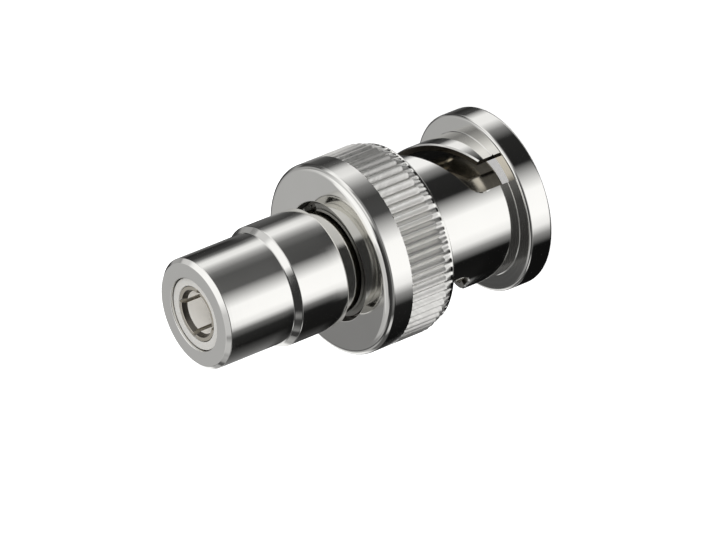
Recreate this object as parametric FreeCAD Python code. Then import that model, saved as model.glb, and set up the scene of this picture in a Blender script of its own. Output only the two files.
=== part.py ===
"""Coaxial adapter: a bayonet plug with its coupling nut on one end, a phono socket on the other.

Millimetres. The axis is Z. The rim of the coupling nut stands on z = 0 and the socket faces up.
"""
import FreeCAD, Part
import math
import os

from FreeCAD import Vector

os.makedirs("parts", exist_ok=True)

# Outside of the coupling nut, from its rim upwards
nut_flange_diameter = 13.5
nut_flange_thickness = 2.0
nut_flange_chamfer = 0.25
nut_barrel_wall = 0.5
nut_barrel_length = 7.0
knurl_diameter = 14.4
knurl_length = 4.0
knurl_teeth = 62
knurl_depth = 0.3
knurl_rim_width = 0.35
knurl_rim_chamfer = 0.15
knurl_bevel_length = 0.6
collar_length = 2.15
collar_chamfer = 0.6

# Inside of the coupling nut; the jack's barrel fills the space around the sleeve
jack_barrel_space = 0.9
nut_bore_chamfer = 0.25
nut_web_thickness = 1.3
ring_recess_depth = 0.95
ring_recess_gap = 0.2

# Bayonet slots for the lugs of the jack
lug_count = 2
lug_slot_width = 2.3
lug_keyway_depth = 0.7
lug_entry_depth = 4.0
lug_ramp_rise = 3.4
lug_ramp_turn = 90.0
lug_seat_diameter = 2.6
lug_seat_drop = 0.15
lug_entry_angle = -73.0

# Turned body
body_bore_diameter = 5.8
neck_wall = 1.0
neck_gap = 1.45
body_flange_thickness = 1.2
spigot_wall = 0.7
spigot_length = 3.0

# Ring in the neck's groove
ring_thickness = 0.6
ring_width = 0.8
ring_groove_depth = 0.4
ring_gap_width = 1.6

# Washers and gasket
washer_thickness = 0.3
wave_height = 1.15
wave_sheet_thickness = 0.2
wave_count = 3
wave_steps = 12
gasket_thickness = 0.8

# Slotted sleeve that enters the jack
sleeve_recess = 1.5
sleeve_inner_diameter = 7.0
sleeve_wall = 0.55
sleeve_lip_thickness = 0.6
gasket_seat_step = 0.2
sleeve_slots = 4
sleeve_slot_width = 0.5
sleeve_slot_length = 3.8
sleeve_tail_length = 2.0
sleeve_tail_wall = 0.55
sleeve_tip_chamfer = 0.2

# Insulator and pin of the plug
plug_insulator_recess = 0.8
plug_insulator_wall = 1.0
plug_insulator_floor = 1.6
pin_recess = 3.2
pin_diameter = 1.35
pin_point_length = 1.1
pin_point_diameter = 0.5
pin_shank_diameter = 2.2
pin_shank_depth = 0.8
pin_spigot_diameter = 1.2
pin_spigot_length = 1.5

# Shell of the phono socket: the standard barrel is 8.3 across, over the spigot and this wall
shell_wall = 0.55
shell_root_step = 0.375
shell_root_length = 4.15
shell_step_length = 0.45
shell_barrel_length = 5.8
shell_rim_chamfer = 0.3
shell_lip_thickness = 0.6
shell_root_chamfer = 0.15

# Insulator and contact of the phono socket
socket_insulator_recess = 0.2
socket_nose_wall = 0.6
socket_contact_recess = 0.25
socket_contact_length = 13.25
socket_contact_bore = 3.2
socket_contact_wall = 0.45
socket_contact_tail = 1.8
socket_lead_in_length = 0.4
socket_lead_in_depth = 0.19
socket_slots = 4
socket_slot_width = 0.35
socket_slot_length = 5.0
socket_slot_angle = 45.0

# Clearances: on the radius for round fits, along the axis for faces
turning_clearance = 0.05
sliding_clearance = 0.03
assembly_clearance = 0.05
press_clearance = 0.01
flange_clearance = 0.1
washer_clearance = 0.15
wave_clearance = 0.2

# Heights of the nut's faces
z_nut_flange_top = nut_flange_thickness
z_knurl_bottom = z_nut_flange_top + nut_barrel_length
z_collar_bottom = z_knurl_bottom + knurl_length
z_nut_top = z_collar_bottom + collar_length
z_ring_seat = z_nut_top - ring_recess_depth
z_web_bottom = z_ring_seat - nut_web_thickness

# Heights of the stack that the nut carries and presses on
z_ring_bottom = z_ring_seat + sliding_clearance
z_ring_top = z_ring_bottom + ring_thickness
z_washer_top = z_web_bottom - sliding_clearance
z_washer_bottom = z_washer_top - washer_thickness
z_wave_top = z_washer_bottom - sliding_clearance
z_body_flange_top = z_wave_top - wave_height
z_body_flange_bottom = z_body_flange_top - body_flange_thickness

# Heights of the phono socket
z_shell_bottom = z_nut_top + neck_gap
z_shell_root_top = z_shell_bottom + shell_root_length
z_shell_step_top = z_shell_root_top + shell_step_length
z_face = z_shell_step_top + shell_barrel_length
z_lip_bottom = z_face - shell_lip_thickness
z_contact_top = z_face - socket_contact_recess
z_contact_bottom = z_contact_top - socket_contact_length
z_spigot_top = z_shell_bottom + spigot_length

# Heights of the plug's inner pieces
z_gasket_bottom = z_body_flange_bottom - gasket_thickness
z_shank_bottom = z_body_flange_bottom - pin_shank_depth
z_sleeve_lip_bottom = z_body_flange_bottom - sleeve_lip_thickness
z_sleeve_tail_top = z_body_flange_bottom + sleeve_tail_length

# Radii of the sleeve and of the nut around it
sleeve_inner_radius = sleeve_inner_diameter / 2
sleeve_outer_radius = sleeve_inner_radius + sleeve_wall
gasket_seat_radius = sleeve_outer_radius + gasket_seat_step
nut_bore_radius = sleeve_outer_radius + jack_barrel_space
nut_barrel_radius = nut_bore_radius + nut_barrel_wall
lug_keyway_radius = nut_bore_radius + lug_keyway_depth
nut_flange_radius = nut_flange_diameter / 2
knurl_tip_radius = knurl_diameter / 2
knurl_root_radius = knurl_tip_radius - knurl_depth

# Radii of the body and of what runs on its neck
body_bore_radius = body_bore_diameter / 2
sleeve_tail_radius = body_bore_radius + sleeve_tail_wall
neck_radius = body_bore_radius + neck_wall
nut_bearing_radius = neck_radius + turning_clearance
body_flange_radius = nut_bore_radius - flange_clearance
washer_outer_radius = nut_bore_radius - washer_clearance
wave_outer_radius = nut_bore_radius - wave_clearance
ring_groove_radius = neck_radius - ring_groove_depth
ring_outer_radius = ring_groove_radius + ring_width
ring_recess_radius = ring_outer_radius + ring_recess_gap

# Radii of the phono socket
shell_bore_radius = body_bore_radius + spigot_wall
shell_barrel_radius = shell_bore_radius + shell_wall
shell_root_radius = shell_barrel_radius + shell_root_step
contact_bore_radius = socket_contact_bore / 2
contact_outer_radius = contact_bore_radius + socket_contact_wall
contact_hole_radius = contact_outer_radius + assembly_clearance
socket_nose_radius = contact_hole_radius + socket_nose_wall


def lathe(profile):
    """Solid of revolution about the axis, from the corners of its section as (radius, z)."""
    corners = [Vector(radius, 0, z) for radius, z in profile]
    outline = Part.makePolygon(corners + corners[:1])
    return Part.Face(outline).revolve(Vector(0, 0, 0), Vector(0, 0, 1), 360)


def around(shape, count):
    """Copies of a shape, evenly spaced about the axis."""
    copies = []
    for index in range(count):
        copy = shape.copy()
        copy.rotate(Vector(0, 0, 0), Vector(0, 0, 1), index * 360 / count)
        copies.append(copy)
    return copies


def radial_slot(width, reach, bottom, top):
    """Block from the axis outwards along X, for cutting one slot in a round wall."""
    return Part.makeBox(reach, width, top - bottom, Vector(0, -width / 2, bottom))


def knurl():
    """Ring of straight teeth cut along the nut's collar, bevelled at its free end."""
    core_radius = knurl_root_radius - knurl_depth
    tooth_bottom = z_knurl_bottom + knurl_rim_width
    half_pitch = math.pi / knurl_teeth
    points = []
    for flank in range(2 * knurl_teeth):
        radius = knurl_root_radius if flank % 2 else knurl_tip_radius
        angle = flank * half_pitch
        points.append(Vector(radius * math.cos(angle), radius * math.sin(angle), tooth_bottom))
    star = Part.Face(Part.makePolygon(points + points[:1]))
    teeth = star.extrude(Vector(0, 0, z_collar_bottom - tooth_bottom))
    envelope = lathe([
        (core_radius, tooth_bottom),
        (knurl_root_radius, tooth_bottom),
        (knurl_tip_radius + knurl_depth, tooth_bottom + knurl_bevel_length),
        (knurl_tip_radius + knurl_depth, z_collar_bottom),
        (core_radius, z_collar_bottom),
    ])
    return teeth.common(envelope)


def bayonet_cutter():
    """What one lug of the jack needs: a keyway under the flange, the ramp and its round seat."""
    inner = nut_bore_radius - nut_bore_chamfer
    outer = nut_barrel_radius + nut_flange_chamfer
    pitch = lug_ramp_rise * 360 / lug_ramp_turn
    helix_radius = (inner + outer) / 2
    slope = math.atan2(lug_ramp_rise, math.radians(lug_ramp_turn) * helix_radius)
    across = Vector(0, -math.sin(slope), math.cos(slope)) * (lug_slot_width / 2)
    section = Part.makePolygon([
        Vector(inner, 0, 0) - across,
        Vector(outer, 0, 0) - across,
        Vector(outer, 0, 0) + across,
        Vector(inner, 0, 0) + across,
        Vector(inner, 0, 0) - across,
    ])
    path = Part.Wire(Part.makeHelix(pitch, lug_ramp_rise, helix_radius).Edges)
    ramp = path.makePipeShell([section], True, True)
    ramp.translate(Vector(0, 0, lug_entry_depth))
    wall = outer - inner
    outwards = Vector(1, 0, 0)
    entry_end = Part.makeCylinder(lug_slot_width / 2, wall, Vector(inner, 0, lug_entry_depth), outwards)
    seat_height = lug_entry_depth + lug_ramp_rise - lug_seat_drop
    seat = Part.makeCylinder(lug_seat_diameter / 2, wall, Vector(inner, 0, seat_height), outwards)
    seat.rotate(Vector(0, 0, 0), Vector(0, 0, 1), lug_ramp_turn)
    keyway = radial_slot(lug_slot_width, nut_flange_diameter, 0, lug_entry_depth)
    keyway = keyway.common(Part.makeCylinder(lug_keyway_radius, lug_entry_depth))
    cutter = ramp.fuse([entry_end, seat, keyway])
    cutter.rotate(Vector(0, 0, 0), Vector(0, 0, 1), lug_entry_angle)
    return cutter


def make_coupling_nut():
    """Turned bayonet nut: flange, slotted barrel, knurl, smooth collar and the web it turns on."""
    knurl_core_radius = knurl_root_radius - knurl_depth
    tooth_bottom = z_knurl_bottom + knurl_rim_width
    blank = lathe([
        (nut_bore_radius + nut_bore_chamfer, 0),
        (nut_flange_radius - nut_flange_chamfer, 0),
        (nut_flange_radius, nut_flange_chamfer),
        (nut_flange_radius, z_nut_flange_top - nut_flange_chamfer),
        (nut_flange_radius - nut_flange_chamfer, z_nut_flange_top),
        (nut_barrel_radius, z_nut_flange_top),
        (nut_barrel_radius, z_knurl_bottom),
        (knurl_root_radius - knurl_rim_chamfer, z_knurl_bottom),
        (knurl_root_radius, z_knurl_bottom + knurl_rim_chamfer),
        (knurl_root_radius, tooth_bottom),
        (knurl_core_radius, tooth_bottom),
        (knurl_core_radius, z_collar_bottom),
        (knurl_tip_radius, z_collar_bottom),
        (knurl_tip_radius, z_nut_top - collar_chamfer),
        (knurl_tip_radius - collar_chamfer, z_nut_top),
        (ring_recess_radius, z_nut_top),
        (ring_recess_radius, z_ring_seat),
        (nut_bearing_radius, z_ring_seat),
        (nut_bearing_radius, z_web_bottom),
        (nut_bore_radius, z_web_bottom),
        (nut_bore_radius, nut_bore_chamfer),
    ])
    return blank.fuse(knurl()).cut(around(bayonet_cutter(), lug_count))


def make_body():
    """Turned core: flange that the gasket sits on, neck that the nut turns on, spigot for the shell."""
    groove_bottom = z_ring_bottom - sliding_clearance
    groove_top = z_ring_top + sliding_clearance
    return lathe([
        (sleeve_tail_radius + press_clearance, z_body_flange_bottom),
        (body_flange_radius, z_body_flange_bottom),
        (body_flange_radius, z_body_flange_top),
        (neck_radius, z_body_flange_top),
        (neck_radius, groove_bottom),
        (ring_groove_radius, groove_bottom),
        (ring_groove_radius, groove_top),
        (neck_radius, groove_top),
        (neck_radius, z_shell_bottom),
        (shell_bore_radius - press_clearance, z_shell_bottom),
        (shell_bore_radius - press_clearance, z_spigot_top),
        (body_bore_radius, z_spigot_top),
        (body_bore_radius, z_sleeve_tail_top),
        (sleeve_tail_radius + press_clearance, z_sleeve_tail_top),
    ])


def make_retaining_ring():
    """Open spring ring that sits in the neck's groove and stops the nut's web."""
    inner_radius = ring_groove_radius + sliding_clearance
    ring = lathe([
        (inner_radius, z_ring_bottom),
        (ring_outer_radius, z_ring_bottom),
        (ring_outer_radius, z_ring_top),
        (inner_radius, z_ring_top),
    ])
    return ring.cut(radial_slot(ring_gap_width, 2 * ring_outer_radius, z_ring_bottom, z_ring_top))


def make_thrust_washer():
    """Flat ring between the wave washer and the nut's web."""
    return lathe([
        (nut_bearing_radius, z_washer_bottom),
        (washer_outer_radius, z_washer_bottom),
        (washer_outer_radius, z_washer_top),
        (nut_bearing_radius, z_washer_top),
    ])


def wave_edge(radius, height):
    """One closed wavy edge of the spring washer, at a height above the bottom of its troughs."""
    rise = (wave_height - wave_sheet_thickness) / 2
    count = wave_count * wave_steps
    points = []
    for step in range(count):
        angle = 2 * math.pi * step / count
        wave = rise * (1 - math.cos(wave_count * angle))
        points.append(Vector(radius * math.cos(angle), radius * math.sin(angle),
                             z_body_flange_top + height + wave))
    curve = Part.BSplineCurve()
    curve.interpolate(points, PeriodicFlag=True)
    return curve.toShape()


def make_wave_washer():
    """Spring washer of thin sheet, pressed into waves."""
    inner_low = wave_edge(nut_bearing_radius, 0)
    outer_low = wave_edge(wave_outer_radius, 0)
    inner_high = wave_edge(nut_bearing_radius, wave_sheet_thickness)
    outer_high = wave_edge(wave_outer_radius, wave_sheet_thickness)
    faces = [
        Part.makeRuledSurface(inner_low, outer_low),
        Part.makeRuledSurface(inner_high, outer_high),
        Part.makeRuledSurface(inner_low, inner_high),
        Part.makeRuledSurface(outer_low, outer_high),
    ]
    return Part.Solid(Part.makeShell(faces))


def make_gasket():
    """Soft ring round the sleeve's shoulder, where the jack's end face seals."""
    inner_radius = gasket_seat_radius + assembly_clearance
    return lathe([
        (inner_radius, z_gasket_bottom),
        (body_flange_radius, z_gasket_bottom),
        (body_flange_radius, z_body_flange_bottom),
        (inner_radius, z_body_flange_bottom),
    ])


def make_outer_contact():
    """Slotted spring sleeve with a shoulder for the gasket, pressed into the body by its tail."""
    sleeve = lathe([
        (sleeve_inner_radius, sleeve_recess),
        (sleeve_outer_radius - sleeve_tip_chamfer, sleeve_recess),
        (sleeve_outer_radius, sleeve_recess + sleeve_tip_chamfer),
        (sleeve_outer_radius, z_gasket_bottom),
        (gasket_seat_radius, z_gasket_bottom),
        (gasket_seat_radius, z_body_flange_bottom),
        (sleeve_tail_radius, z_body_flange_bottom),
        (sleeve_tail_radius, z_sleeve_tail_top),
        (body_bore_radius, z_sleeve_tail_top),
        (body_bore_radius, z_sleeve_lip_bottom),
        (sleeve_inner_radius, z_sleeve_lip_bottom),
    ])
    slot_top = sleeve_recess + sleeve_slot_length
    slot = radial_slot(sleeve_slot_width, 2 * sleeve_outer_radius, 0, slot_top)
    return sleeve.cut(around(slot, sleeve_slots))


def make_plug_insulator():
    """Sleeve and floor that line the outer contact and hold the pin in its middle."""
    outer_radius = sleeve_inner_radius - assembly_clearance
    inner_radius = outer_radius - plug_insulator_wall
    stem_radius = body_bore_radius - assembly_clearance
    bottom = sleeve_recess + plug_insulator_recess
    floor = z_body_flange_bottom - plug_insulator_floor
    pin_hole = pin_diameter / 2 + sliding_clearance
    shank_hole = pin_shank_diameter / 2 + sliding_clearance
    return lathe([
        (inner_radius, bottom),
        (outer_radius, bottom),
        (outer_radius, z_sleeve_lip_bottom - sliding_clearance),
        (stem_radius, z_sleeve_lip_bottom - sliding_clearance),
        (stem_radius, z_contact_bottom - sliding_clearance),
        (shank_hole, z_contact_bottom - sliding_clearance),
        (shank_hole, z_shank_bottom),
        (pin_hole, z_shank_bottom),
        (pin_hole, floor),
        (inner_radius, floor),
    ])


def make_pin():
    """Turned centre pin with a blunt point, and a shank with the hole for the contact's spigot."""
    shank_bottom = z_shank_bottom + sliding_clearance
    shank_top = z_contact_bottom - sliding_clearance
    spigot_hole = pin_spigot_diameter / 2 + press_clearance
    hole_bottom = z_contact_bottom - pin_spigot_length - assembly_clearance
    return lathe([
        (0, pin_recess),
        (pin_point_diameter / 2, pin_recess),
        (pin_diameter / 2, pin_recess + pin_point_length),
        (pin_diameter / 2, shank_bottom),
        (pin_shank_diameter / 2, shank_bottom),
        (pin_shank_diameter / 2, shank_top),
        (spigot_hole, shank_top),
        (spigot_hole, hole_bottom),
        (0, hole_bottom),
    ])


def make_shell():
    """Turned shell of the phono socket, in two diameters, with the lip of its face."""
    return lathe([
        (shell_bore_radius, z_shell_bottom),
        (shell_root_radius - shell_root_chamfer, z_shell_bottom),
        (shell_root_radius, z_shell_bottom + shell_root_chamfer),
        (shell_root_radius, z_shell_root_top),
        (shell_barrel_radius, z_shell_step_top),
        (shell_barrel_radius, z_face - shell_rim_chamfer),
        (shell_barrel_radius - shell_rim_chamfer, z_face),
        (socket_nose_radius + assembly_clearance, z_face),
        (socket_nose_radius + assembly_clearance, z_lip_bottom),
        (shell_bore_radius, z_lip_bottom),
    ])


def make_socket_insulator():
    """Bush that fills the shell, with a nose in its lip and the contact through its middle."""
    stem_radius = body_bore_radius - assembly_clearance
    outer_radius = shell_bore_radius - assembly_clearance
    nose_top = z_face - socket_insulator_recess
    return lathe([
        (contact_hole_radius, z_contact_bottom),
        (stem_radius, z_contact_bottom),
        (stem_radius, z_spigot_top + sliding_clearance),
        (outer_radius, z_spigot_top + sliding_clearance),
        (outer_radius, z_lip_bottom - sliding_clearance),
        (socket_nose_radius, z_lip_bottom - sliding_clearance),
        (socket_nose_radius, nose_top),
        (contact_hole_radius, nose_top),
    ])


def make_socket_contact():
    """Slotted tube that grips the phono plug's pin, with its lead-in, a solid tail and a spigot."""
    tube = lathe([
        (0, z_contact_bottom - pin_spigot_length),
        (pin_spigot_diameter / 2, z_contact_bottom - pin_spigot_length),
        (pin_spigot_diameter / 2, z_contact_bottom),
        (contact_outer_radius, z_contact_bottom),
        (contact_outer_radius, z_contact_top),
        (contact_bore_radius + socket_lead_in_depth, z_contact_top),
        (contact_bore_radius, z_contact_top - socket_lead_in_length),
        (contact_bore_radius, z_contact_bottom + socket_contact_tail),
        (0, z_contact_bottom + socket_contact_tail),
    ])
    slot_bottom = z_contact_top - socket_slot_length
    slot = radial_slot(socket_slot_width, 2 * contact_outer_radius, slot_bottom, z_contact_top)
    slot.rotate(Vector(0, 0, 0), Vector(0, 0, 1), socket_slot_angle)
    return tube.cut(around(slot, socket_slots))


pieces = {
    "body": make_body(),
    "rca_shell": make_shell(),
    "rca_insulator": make_socket_insulator(),
    "rca_contact": make_socket_contact(),
    "bnc_pin": make_pin(),
    "bnc_insulator": make_plug_insulator(),
    "bnc_outer_contact": make_outer_contact(),
    "gasket": make_gasket(),
    "retaining_ring": make_retaining_ring(),
    "wave_washer": make_wave_washer(),
    "thrust_washer": make_thrust_washer(),
    "coupling_nut": make_coupling_nut(),
}

for name, shape in pieces.items():
    shape.exportStep(f"parts/{name}.step")
    box = shape.BoundBox
    print(f"{name}: {len(shape.Solids)} solid, valid {shape.isValid()}, volume {shape.Volume:.3f} mm3, "
          f"z {box.ZMin:.2f} to {box.ZMax:.2f}, widest {max(box.XLength, box.YLength):.2f}")
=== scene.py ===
"""A coaxial adapter, bayonet plug to phono socket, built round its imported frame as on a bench.

Lengths that are written as plain numbers are millimetres, and MM turns them into metres.
"""
import math

import bmesh
import bpy
from mathutils import Matrix, Vector


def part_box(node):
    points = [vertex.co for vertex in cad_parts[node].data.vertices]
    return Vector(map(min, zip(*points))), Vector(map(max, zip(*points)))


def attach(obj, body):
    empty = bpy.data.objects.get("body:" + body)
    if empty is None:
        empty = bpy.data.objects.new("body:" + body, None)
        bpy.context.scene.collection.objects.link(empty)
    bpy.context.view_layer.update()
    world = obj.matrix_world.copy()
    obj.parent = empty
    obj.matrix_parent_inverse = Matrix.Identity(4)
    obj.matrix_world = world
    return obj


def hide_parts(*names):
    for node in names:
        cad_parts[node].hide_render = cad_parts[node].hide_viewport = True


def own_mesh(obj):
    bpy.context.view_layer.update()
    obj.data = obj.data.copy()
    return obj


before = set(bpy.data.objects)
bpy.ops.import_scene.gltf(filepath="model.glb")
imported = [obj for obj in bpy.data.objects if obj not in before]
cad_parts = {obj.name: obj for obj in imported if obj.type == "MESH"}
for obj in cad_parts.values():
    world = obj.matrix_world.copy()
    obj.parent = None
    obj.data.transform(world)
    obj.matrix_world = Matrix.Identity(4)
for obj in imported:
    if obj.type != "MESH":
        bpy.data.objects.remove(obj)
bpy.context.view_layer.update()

MM = 0.001

# The view: the adapter stands on its nut's rim, seen from 31 degrees above with a long lens,
# and the camera is rolled until the phono socket points to the lower left, as in the photograph.
PHOTO_WIDTH, PHOTO_HEIGHT = 716, 540
FACE_CENTRE_PIXEL = (193.6, 315.1)
LENS_IN_PIXELS = 8150
SENSOR_WIDTH = 36
CAMERA_PITCH = math.radians(-31)
CAMERA_ROLL = math.radians(-111.9)
CAMERA_DISTANCE = 575
CLIP_NEAR, CLIP_FAR = 10, 5000

face_centre = Vector((0, 0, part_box("rca_shell")[1][2]))
camera_turn = Matrix.Rotation(math.radians(90) + CAMERA_PITCH, 3, "X") @ Matrix.Rotation(CAMERA_ROLL, 3, "Z")
aside = (FACE_CENTRE_PIXEL[0] - PHOTO_WIDTH / 2) / LENS_IN_PIXELS
above = (PHOTO_HEIGHT / 2 - FACE_CENTRE_PIXEL[1]) / LENS_IN_PIXELS
camera_data = bpy.data.cameras.new("camera")
camera_data.sensor_width = SENSOR_WIDTH
camera_data.lens = LENS_IN_PIXELS * SENSOR_WIDTH / PHOTO_WIDTH
camera_data.clip_start = CLIP_NEAR * MM
camera_data.clip_end = CLIP_FAR * MM
camera = bpy.data.objects.new("camera", camera_data)
camera.matrix_world = Matrix.Translation(
    face_centre - camera_turn @ Vector((aside, above, -1)) * CAMERA_DISTANCE * MM
) @ camera_turn.to_4x4()
bpy.context.collection.objects.link(camera)
bpy.context.scene.camera = camera
bpy.context.scene.view_settings.view_transform = "Standard"


# The table: a wide white sheet. It goes to plain white for the camera, but keeps the soft
# shadow of the adapter, and bright metal doesn't mirror it, because the tent stands round that.
# From below it is clear, so that the plug's open end can be looked at.
def linear(hex_colour):
    """An sRGB colour such as #c0c0bc, as linear red, green, blue and one."""
    channels = [int(hex_colour[at:at + 2], 16) / 255 for at in (1, 3, 5)]
    return tuple(c / 12.92 if c <= 0.04045 else ((c + 0.055) / 1.055) ** 2.4 for c in channels) + (1.0,)


def add(tree, kind, settings=None, **links):
    """Adds a node, gives it its settings and socket values, and links its other sockets. A link
    named Base_Color goes to the socket of that name, and one named _2 to the third socket."""
    made = tree.nodes.new(kind)
    for name, value in (settings or {}).items():
        if isinstance(name, int) or name in made.inputs:
            made.inputs[name].default_value = value
        else:
            setattr(made, name, value)
    for name, source in links.items():
        socket = made.inputs[int(name[1:])] if name[0] == "_" else made.inputs[name.replace("_", " ")]
        tree.links.new(source, socket)
    return made


def new_material(name):
    """An empty node material and its tree, with the output node in place."""
    material = bpy.data.materials.new(name)
    material.use_nodes = True
    material.node_tree.nodes.clear()
    return material, material.node_tree


TABLE_REACH = 900
TABLE_COLOUR = "#f2f2f2"
TABLE_OWN_WHITE = 0.45
TABLE_DROP = 0.01

table_paper, tree = new_material("white table")
paper = add(tree, "ShaderNodeBsdfDiffuse", {"Color": linear(TABLE_COLOUR)})
path = add(tree, "ShaderNodeLightPath")
glow = add(tree, "ShaderNodeEmission", {"Color": linear("#ffffff")})
share = add(tree, "ShaderNodeMath", {"operation": "MULTIPLY", 1: TABLE_OWN_WHITE},
            _0=path.outputs["Is Camera Ray"])
tree.links.new(share.outputs[0], glow.inputs["Strength"])
both = add(tree, "ShaderNodeAddShader", _0=paper.outputs[0], _1=glow.outputs[0])
side = add(tree, "ShaderNodeNewGeometry")
clear = add(tree, "ShaderNodeBsdfTransparent")
one_way = add(tree, "ShaderNodeMixShader", _0=side.outputs["Backfacing"], _1=both.outputs[0],
              _2=clear.outputs[0])
add(tree, "ShaderNodeOutputMaterial", Surface=one_way.outputs[0])

sheet = bmesh.new()
bmesh.ops.create_grid(sheet, x_segments=1, y_segments=1, size=TABLE_REACH * MM)
bmesh.ops.translate(sheet, verts=sheet.verts, vec=(0, 0, -TABLE_DROP * MM))
table_mesh = bpy.data.meshes.new("table")
sheet.to_mesh(table_mesh)
sheet.free()
table_mesh.materials.append(table_paper)
table = bpy.data.objects.new("table", table_mesh)
bpy.context.collection.objects.link(table)
table.visible_glossy = False

# The tent: white cloth with black and grey cards hung round it, which only bright metal mirrors.
# Its bands run up and down, and a smooth turned wall shows each at half its own angle. The cards
# change with height too, so that every step of the metal mirrors another row of them.
TENT_RADIUS = 60
TENT_MIDDLE = 14
TENT_COLUMNS, TENT_RINGS = 96, 48
TENT_LEVEL = 1.08

# Each row: the heights over the tent's middle where it starts and is full, then its cards, as
# (bearing in degrees, how white). The comment says what mirrors the row in the main view. The cards
# are a guess at the studio: they were moved and shaded until the metal was as bright round its walls
# as in the photograph.
TENT_ROWS = (
    # the wall of the nut's flange
    (-60, -59, ((0, 0.12), (24, 0.005), (102, 0.005), (115, 0.25), (126, 0.85), (140, 1.0), (170, 0.98),
                (202, 0.015), (238, 0.02), (254, 0.22), (270, 0.85), (286, 0.85), (302, 0.06), (320, 0.02),
                (340, 0.12), (360, 0.12))),
    # the nut's barrel
    (-36.6, -36, ((0, 0.3), (14, 0.9), (40, 0.75), (56, 0.01), (102, 0.006), (115, 0.25), (126, 0.85),
                  (140, 1.0), (170, 0.98), (202, 0.015), (234, 0.02), (250, 0.25), (264, 0.9), (288, 0.9),
                  (302, 0.05), (320, 0.1), (338, 0.55), (360, 0.3))),
    # the nut's collar
    (-31.5, -30.5, ((0, 0.2), (24, 0.04), (46, 0.004), (102, 0.012), (115, 0.25), (126, 0.85), (140, 1.0),
                    (174, 0.98), (206, 0.06), (228, 0.05), (244, 0.2), (266, 0.8), (278, 0.7), (292, 0.1),
                    (304, 0.04), (322, 0.08), (342, 0.3), (360, 0.2))),
    # the wide part of the phono shell
    (-26.8, -26.2, ((0, 0.03), (32, 0.06), (62, 0.008), (108, 0.01), (119, 0.15), (130, 0.85), (140, 1.0),
                    (168, 0.98), (198, 0.06), (228, 0.075), (244, 0.16), (254, 0.4), (266, 0.85), (276, 0.8),
                    (290, 0.2), (300, 0.05), (332, 0.12), (348, 0.03), (360, 0.03))),
    # the narrow part of the phono shell
    (-23.4, -22.6, ((0, 0.3), (24, 0.2), (60, 0.07), (80, 0.009), (104, 0.02), (117, 0.14), (128, 0.8),
                    (140, 1.0), (166, 0.98), (198, 0.1), (228, 0.085), (242, 0.16), (254, 0.4), (266, 0.85),
                    (276, 0.8), (288, 0.15), (298, 0.04), (320, 0.02), (342, 0.2), (360, 0.3))),
    # fillets, and the walls in views from lower down
    (-18, -14, ((0, 0.25), (12, 0.9), (34, 0.9), (46, 0.12), (70, 0.08), (78, 0.6), (88, 0.6), (98, 0.08),
                (116, 0.2), (200, 0.2), (236, 0.25), (246, 0.9), (272, 0.9), (286, 0.08), (312, 0.05),
                (320, 0.3), (330, 0.05), (350, 0.04), (360, 0.25))),
    # the ends of the chamfer round the socket's face
    (4, 10, ((0, 0.36), (50, 0.36), (70, 0.04), (160, 0.05), (190, 0.12), (206, 0.75), (250, 0.85),
             (276, 0.4), (300, 0.3), (360, 0.36))),
    # the flat top of the nut's flange
    (18.5, 19.5, ((0, 0.2), (4, 0.06), (48, 0.09), (58, 0.04), (100, 0.03), (160, 0.05), (190, 0.12),
                  (206, 0.75), (250, 0.85), (276, 0.4), (300, 0.2), (330, 0.4), (356, 0.36), (360, 0.2))),
    # the flat face of the nut's collar
    (24, 26, ((0, 0.3), (5, 0.2), (40, 0.22), (62, 0.38), (84, 0.05), (100, 0.03), (194, 0.03), (206, 0.5),
              (262, 0.6), (300, 0.6), (330, 0.4), (356, 0.4), (360, 0.3))),
    # the cone and the flat face of the phono shell
    (34, 37, ((0, 0.39), (60, 0.46), (90, 0.5), (110, 0.03), (180, 0.03), (200, 0.95), (280, 0.95),
              (320, 0.4), (360, 0.39))),
    # chamfers that look up, and the flat faces in views from above
    (46.2, 47.6, ((0, 0.8), (60, 0.5), (150, 0.55), (184, 0.95), (280, 1.0), (320, 0.8), (360, 0.8))),
)

tent_cloth, tree = new_material("tent cloth with black cards")
place = add(tree, "ShaderNodeTexCoord")
axes = add(tree, "ShaderNodeSeparateXYZ", _0=place.outputs["Object"])
west = add(tree, "ShaderNodeMath", {"operation": "MULTIPLY", 1: -1.0}, _0=axes.outputs["X"])
bearing = add(tree, "ShaderNodeMath", {"operation": "ARCTAN2"}, _0=west.outputs[0], _1=axes.outputs["Y"])
turns = add(tree, "ShaderNodeMath", {"operation": "DIVIDE", 1: 2 * math.pi}, _0=bearing.outputs[0])
fraction = add(tree, "ShaderNodeMath", {"operation": "FRACT"}, _0=turns.outputs[0])
cloth = None
for starts_at, full_at, shades in TENT_ROWS:
    row = add(tree, "ShaderNodeValToRGB", Fac=fraction.outputs[0])
    stops = row.color_ramp.elements
    while len(stops) < len(shades):
        stops.new(1.0)
    for stop, (angle, shade) in zip(stops, shades):
        stop.position = angle / 360
        stop.color = (shade, shade, shade, 1)
    if cloth is None:
        cloth = row.outputs["Color"]
        continue
    rise = add(tree, "ShaderNodeMapRange", {
        "From Min": (TENT_MIDDLE + starts_at) * MM, "From Max": (TENT_MIDDLE + full_at) * MM,
    }, Value=axes.outputs["Z"])
    cloth = add(tree, "ShaderNodeMix", {"data_type": "RGBA"}, _0=rise.outputs[0], _6=cloth,
                _7=row.outputs["Color"]).outputs[2]
shine = add(tree, "ShaderNodeEmission", {"Strength": TENT_LEVEL}, Color=cloth)
add(tree, "ShaderNodeOutputMaterial", Surface=shine.outputs[0])
tent_cloth.cycles.emission_sampling = "NONE"

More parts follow.
